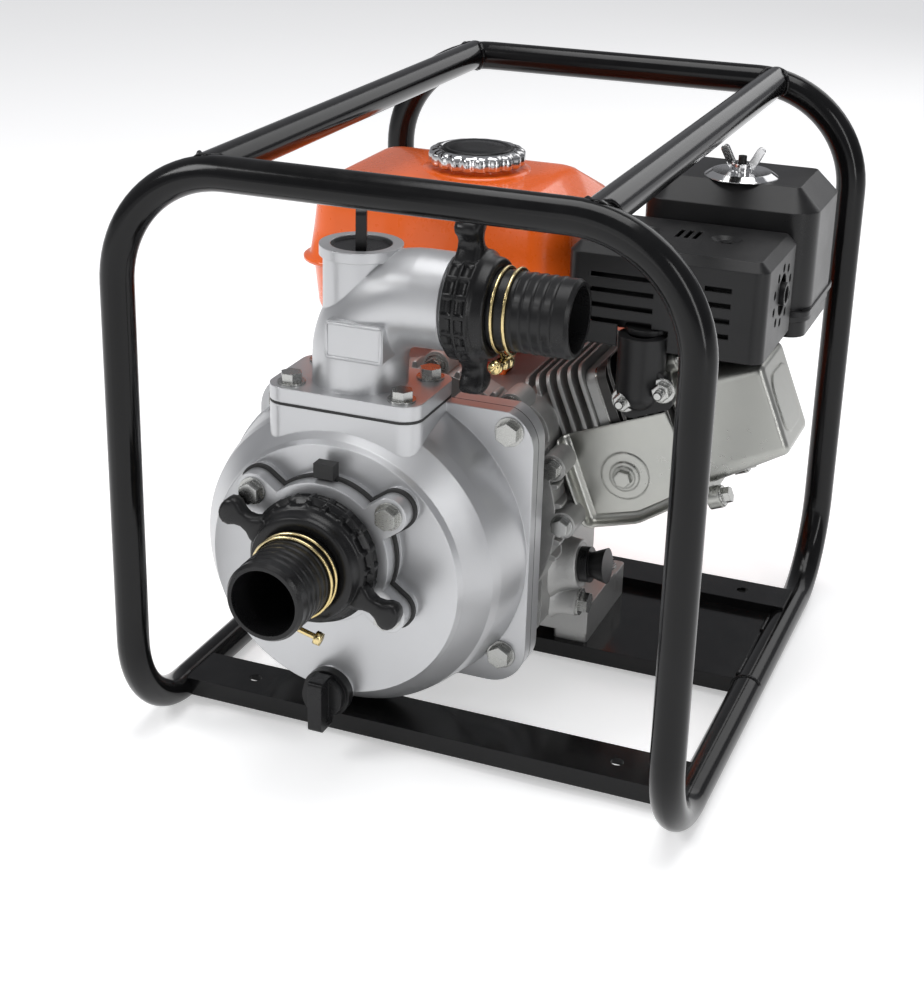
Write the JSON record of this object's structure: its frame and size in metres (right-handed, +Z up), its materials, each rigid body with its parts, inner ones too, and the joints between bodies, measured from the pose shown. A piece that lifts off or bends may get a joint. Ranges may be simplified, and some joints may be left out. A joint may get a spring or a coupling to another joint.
{
  "type": "engine-driven centrifugal water pump",
  "caption": "Petrol-engine centrifugal water pump with hose barbs at suction and discharge, carried in a tubular roll cage.",
  "frame": {"origin": "centre of the overall footprint, on the floor under the cage rails", "axes": "+X towards the cylinder head and the discharge hose, +Y along the crank axis away from the suction mouth, +Z up"},
  "size_m": [0.3974, 0.5062, 0.416],
  "materials": {
    "gloss_black_tube": "gloss",
    "silver_casting": "satin",
    "bare_aluminium": "satin",
    "black_plastic": "satin",
    "black_gloss_plastic": "gloss",
    "rubber": "matte",
    "zinc_steel": "satin",
    "brass_wire": "gloss",
    "chrome": "polished",
    "orange_paint": "gloss",
    "dark_paint": "satin",
    "iron": "rough",
    "filter_foam": "rough"
  },
  "bodies": {
    "pump_set": {"frame_front_hoop": "gloss_black_tube", "frame_rear_hoop": "gloss_black_tube", "frame_top_bars": "gloss_black_tube", "front_cross_channel": "gloss_black_tube", "rear_cross_channel": "gloss_black_tube", "engine_base_plate": "gloss_black_tube", "pump_casing": "silver_casting", "pump_back_cover": "silver_casting", "inner_volute": "iron", "mechanical_seal": "rubber", "check_valve_gasket": "rubber", "suction_flange": "silver_casting", "suction_hose_barb": "black_plastic", "pump_gaskets": "rubber", "discharge_elbow": "silver_casting", "pump_bolts": "zinc_steel", "discharge_hose_barb": "black_plastic", "hose_wire_clamps": "brass_wire", "crankcase": "bare_aluminium", "crankcase_cover": "bare_aluminium", "engine_mount_bolts": "zinc_steel", "main_bearings": "chrome", "head_gasket": "zinc_steel", "cylinder_head": "bare_aluminium", "valve_cover": "zinc_steel", "engine_bolts": "zinc_steel", "spark_plug": "rubber", "air_guide_plate": "zinc_steel", "exhaust_elbow": "dark_paint", "muffler": "dark_paint", "muffler_shield": "dark_paint", "air_cleaner_base": "black_plastic", "air_filter_element": "filter_foam", "air_cleaner_cover": "black_gloss_plastic", "carburettor": "bare_aluminium", "fuel_tank": "orange_paint", "fan_shroud": "orange_paint", "recoil_cover": "orange_paint"},
    "crank_train": {"crankshaft": "iron", "impeller": "iron", "flywheel": "iron"},
    "piston_train": {"piston": "bare_aluminium", "piston_rings": "iron", "wrist_pin": "chrome", "connecting_rod": "bare_aluminium", "crank_pin": "iron"},
    "suction_coupling": {"suction_ring_nut": "black_plastic"},
    "discharge_coupling": {"discharge_ring_nut": "black_plastic"},
    "filler": {"filler_plug": "black_plastic"},
    "drain": {"drain_plug": "black_plastic"},
    "check_flap": {"check_valve_flap": "rubber"},
    "tank_cap": {"fuel_cap": "chrome"},
    "cleaner_nut": {"air_cleaner_wing_nut": "chrome"},
    "choke": {"choke_lever": "black_plastic"},
    "fuel_cock": {"fuel_cock_lever": "black_plastic"},
    "throttle": {"throttle_lever": "zinc_steel"},
    "stop_switch": {"engine_switch": "black_plastic"},
    "pull_grip": {"starter_grip": "black_plastic"},
    "recoil_reel": {"recoil_pulley": "black_plastic"},
    "oil_dipstick": {"dipstick": "black_plastic"}
  },
  "joints": [
    {"name": "crank_spin", "type": "hinge", "parent": "pump_set", "child": "crank_train", "pos_m": [-0.04714, 0.0191, 0.14], "axis": [0, 1, 0], "continuous": true},
    {"name": "piston_stroke", "type": "slide", "parent": "pump_set", "child": "piston_train", "axis": [0.9272, 0, 0.3746], "range_m": [-0.054, 0]},
    {"name": "suction_nut_turn", "type": "hinge", "parent": "pump_set", "child": "suction_coupling", "pos_m": [-0.06414, -0.1859, 0.1525], "axis": [0, -1, 0], "continuous": true},
    {"name": "discharge_nut_turn", "type": "hinge", "parent": "pump_set", "child": "discharge_coupling", "pos_m": [0.01185, -0.1039, 0.312], "axis": [1, 0, 0], "continuous": true},
    {"name": "filler_turn", "type": "hinge", "parent": "pump_set", "child": "filler", "pos_m": [-0.06714, -0.1039, 0.335], "axis": [0, 0, 1], "continuous": true},
    {"name": "drain_turn", "type": "hinge", "parent": "pump_set", "child": "drain", "pos_m": [-0.06414, -0.1609, 0.044], "axis": [0, -1, 0], "continuous": true},
    {"name": "check_flap_swing", "type": "hinge", "parent": "pump_set", "child": "check_flap", "pos_m": [-0.06414, -0.157, 0.1755], "axis": [1, 0, 0], "range_deg": [0, 20]},
    {"name": "tank_cap_turn", "type": "hinge", "parent": "pump_set", "child": "tank_cap", "pos_m": [-0.06114, 0.0851, 0.36], "axis": [0, 0, 1], "continuous": true},
    {"name": "cleaner_nut_turn", "type": "hinge", "parent": "pump_set", "child": "cleaner_nut", "pos_m": [0.12585, 0.1191, 0.362], "axis": [0, 0, 1], "continuous": true},
    {"name": "choke_swing", "type": "hinge", "parent": "pump_set", "child": "choke", "pos_m": [0.13386, 0.1291, 0.201], "axis": [1, 0, 0], "range_deg": [-40, 0]},
    {"name": "fuel_cock_swing", "type": "hinge", "parent": "pump_set", "child": "fuel_cock", "pos_m": [0.14386, 0.1151, 0.183], "axis": [1, 0, 0], "range_deg": [0, 80]},
    {"name": "throttle_swing", "type": "hinge", "parent": "pump_set", "child": "throttle", "pos_m": [0.06885, 0.1171, 0.238], "axis": [0, 0, 1], "range_deg": [0, 30]},
    {"name": "stop_switch_rock", "type": "hinge", "parent": "pump_set", "child": "stop_switch", "pos_m": [0.06986, 0.1506, 0.206], "axis": [1, 0, 0], "range_deg": [-10, 0]},
    {"name": "grip_pull", "type": "slide", "parent": "pump_set", "child": "pull_grip", "axis": [-1, 0, 0], "range_m": [0, 0.088]},
    {"name": "reel_turn", "type": "hinge", "parent": "pump_set", "child": "recoil_reel", "pos_m": [-0.04714, 0.1821, 0.14], "axis": [0, 1, 0], "range_deg": [-170, 0]},
    {"name": "dipstick_turn", "type": "hinge", "parent": "pump_set", "child": "oil_dipstick", "pos_m": [0.05885, 0.0071, 0.0911], "axis": [0.9929, 0, 0.1191], "continuous": true}
  ],
  "couplings": [
    {"joint": "reel_turn", "follows": "grip_pull", "rad_per_m": -33.333}
  ]
}
